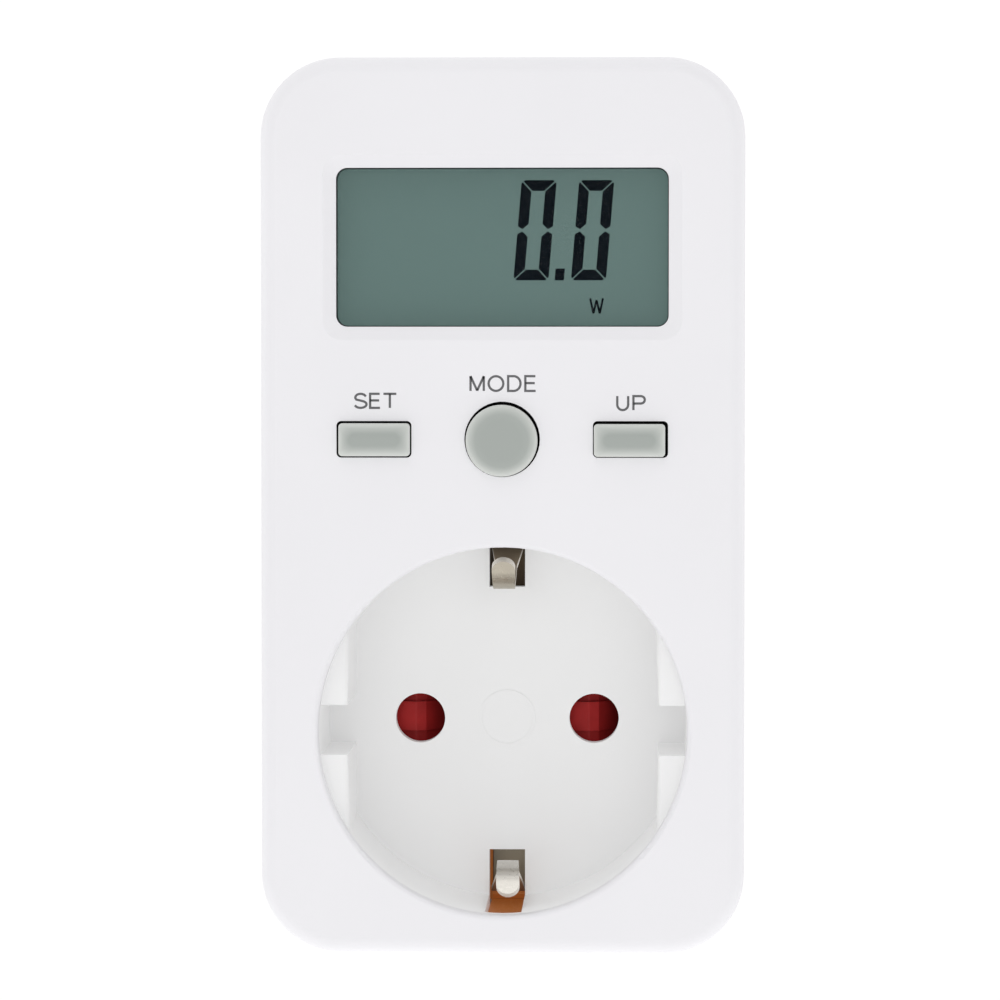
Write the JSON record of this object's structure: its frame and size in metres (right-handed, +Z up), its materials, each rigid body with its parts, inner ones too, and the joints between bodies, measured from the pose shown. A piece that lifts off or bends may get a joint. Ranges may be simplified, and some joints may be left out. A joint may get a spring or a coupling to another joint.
{
  "type": "plug-in power meter",
  "caption": "Slim upright wall-socket energy meter with a display window, three push buttons, a deep round socket recess with side earth springs, and a round plug with two pins behind.",
  "frame": {"origin": "centre of the plug's flat nose, on the plug's axis, where the two pins stand", "axes": "+Y out of the nose along the pins, into the wall; the display faces -Y; +Z up; +X to the right as seen from the front"},
  "size_m": [0.0512, 0.0762, 0.0946],
  "materials": {
    "shell": "fine satin, off-white",
    "insert": "fine satin, off-white",
    "carrier": "matte dark grey",
    "shutter_red": "satin red",
    "cap_grey": "satin translucent grey-green",
    "switch_black": "matte black",
    "plunger_brown": "matte brown",
    "contact_brass": "bare rolled brass",
    "nickel_pin": "nickel plated, turned",
    "spring_metal": "nickel plated spring strip",
    "strap_copper": "tarnished copper alloy strip",
    "window_clear": "clear polished acrylic",
    "lcd_glass": "reflective grey-green display glass",
    "holder_white": "natural white moulding",
    "zebra_rubber": "pink silicone with a dark core line",
    "board_green": "solder-masked glass-epoxy",
    "chip_black": "black resin",
    "film_yellow": "yellow moulded case",
    "sleeve_blue": "dark blue shrink sleeve",
    "varistor_blue": "blue coated disc",
    "fuse_ceramic": "white ceramic tube",
    "shunt_metal": "copper-manganese strip",
    "cell_steel": "bright nickel plate",
    "screw_steel": "zinc plated",
    "wire_brown": "soft vinyl",
    "wire_blue": "soft vinyl",
    "wire_green": "soft vinyl, green with yellow stripe",
    "plate_silver": "blank satin foil label"
  },
  "bodies": {
    "housing": {"front_shell": "shell", "rear_shell": "shell", "socket_insert": "insert", "contact_carrier": "carrier", "shutter_spring": "spring_metal", "line_contact": "contact_brass", "neutral_contact": "contact_brass", "line_pin": "nickel_pin", "neutral_pin": "nickel_pin", "earth_strap": "strap_copper", "earth_spring_feet": "spring_metal", "earth_rivets": "spring_metal", "plug_earth_bracket": "spring_metal", "lcd_window": "window_clear", "lcd_panel": "lcd_glass", "lcd_frame": "holder_white", "upper_zebra_strip": "zebra_rubber", "lower_zebra_strip": "zebra_rubber", "display_pcb": "board_green", "metering_chip": "chip_black", "clock_crystal": "cell_steel", "set_switch": "switch_black", "mode_switch": "switch_black", "up_switch": "switch_black", "power_pcb": "board_green", "film_capacitor": "film_yellow", "electrolytic_capacitor": "sleeve_blue", "varistor": "varistor_blue", "fuse": "fuse_ceramic", "current_shunt": "shunt_metal", "rectifier_diodes": "chip_black", "backup_cell": "cell_steel", "board_link": "chip_black", "line_wire": "wire_brown", "neutral_wire": "wire_blue", "earth_wire": "wire_green", "housing_screws": "screw_steel", "pcb_screws": "screw_steel", "carrier_screws": "screw_steel", "rating_plate": "plate_silver", "plug_insert": "insert"},
    "set_cap": {"set_button": "cap_grey"},
    "mode_cap": {"mode_button": "cap_grey"},
    "up_cap": {"up_button": "cap_grey"},
    "set_actuator": {"set_plunger": "plunger_brown"},
    "mode_actuator": {"mode_plunger": "plunger_brown"},
    "up_actuator": {"up_plunger": "plunger_brown"},
    "shutter_slider": {"shutter": "shutter_red"},
    "upper_leaf": {"upper_earth_spring": "spring_metal"},
    "lower_leaf": {"lower_earth_spring": "spring_metal"}
  },
  "joints": [
    {"name": "set_press", "type": "slide", "parent": "housing", "child": "set_cap", "axis": [0, 1, 0], "range_m": [0, 0.0005], "stiffness_N_per_m": 1500, "springref_m": -0.0001},
    {"name": "set_plunger_press", "type": "slide", "parent": "housing", "child": "set_actuator", "axis": [0, 1, 0], "range_m": [0, 0.00025]},
    {"name": "mode_press", "type": "slide", "parent": "housing", "child": "mode_cap", "axis": [0, 1, 0], "range_m": [0, 0.0005], "stiffness_N_per_m": 1500, "springref_m": -0.0001},
    {"name": "mode_plunger_press", "type": "slide", "parent": "housing", "child": "mode_actuator", "axis": [0, 1, 0], "range_m": [0, 0.00025]},
    {"name": "up_press", "type": "slide", "parent": "housing", "child": "up_cap", "axis": [0, 1, 0], "range_m": [0, 0.0005], "stiffness_N_per_m": 1500, "springref_m": -0.0001},
    {"name": "up_plunger_press", "type": "slide", "parent": "housing", "child": "up_actuator", "axis": [0, 1, 0], "range_m": [0, 0.00025]},
    {"name": "shutter_slide", "type": "slide", "parent": "housing", "child": "shutter_slider", "axis": [-1, 0, 0], "range_m": [0, 0.0055], "stiffness_N_per_m": 200, "springref_m": -0.001, "deforming": ["shutter_spring"]},
    {"name": "upper_earth_flex", "type": "hinge", "parent": "housing", "child": "upper_leaf", "pos_m": [0, -0.03425, 0.01936], "axis": [-1, 0, 0], "range_deg": [0, 6.5], "stiffness_Nm_per_rad": 0.5, "springref_deg": -1.15},
    {"name": "lower_earth_flex", "type": "hinge", "parent": "housing", "child": "lower_leaf", "pos_m": [0, -0.03425, -0.01936], "axis": [1, 0, 0], "range_deg": [0, 6.5], "stiffness_Nm_per_rad": 0.5, "springref_deg": -1.15}
  ],
  "couplings": [
    {"joint": "set_plunger_press", "follows": "set_press", "ratio": 0.5},
    {"joint": "mode_plunger_press", "follows": "mode_press", "ratio": 0.5},
    {"joint": "up_plunger_press", "follows": "up_press", "ratio": 0.5}
  ]
}
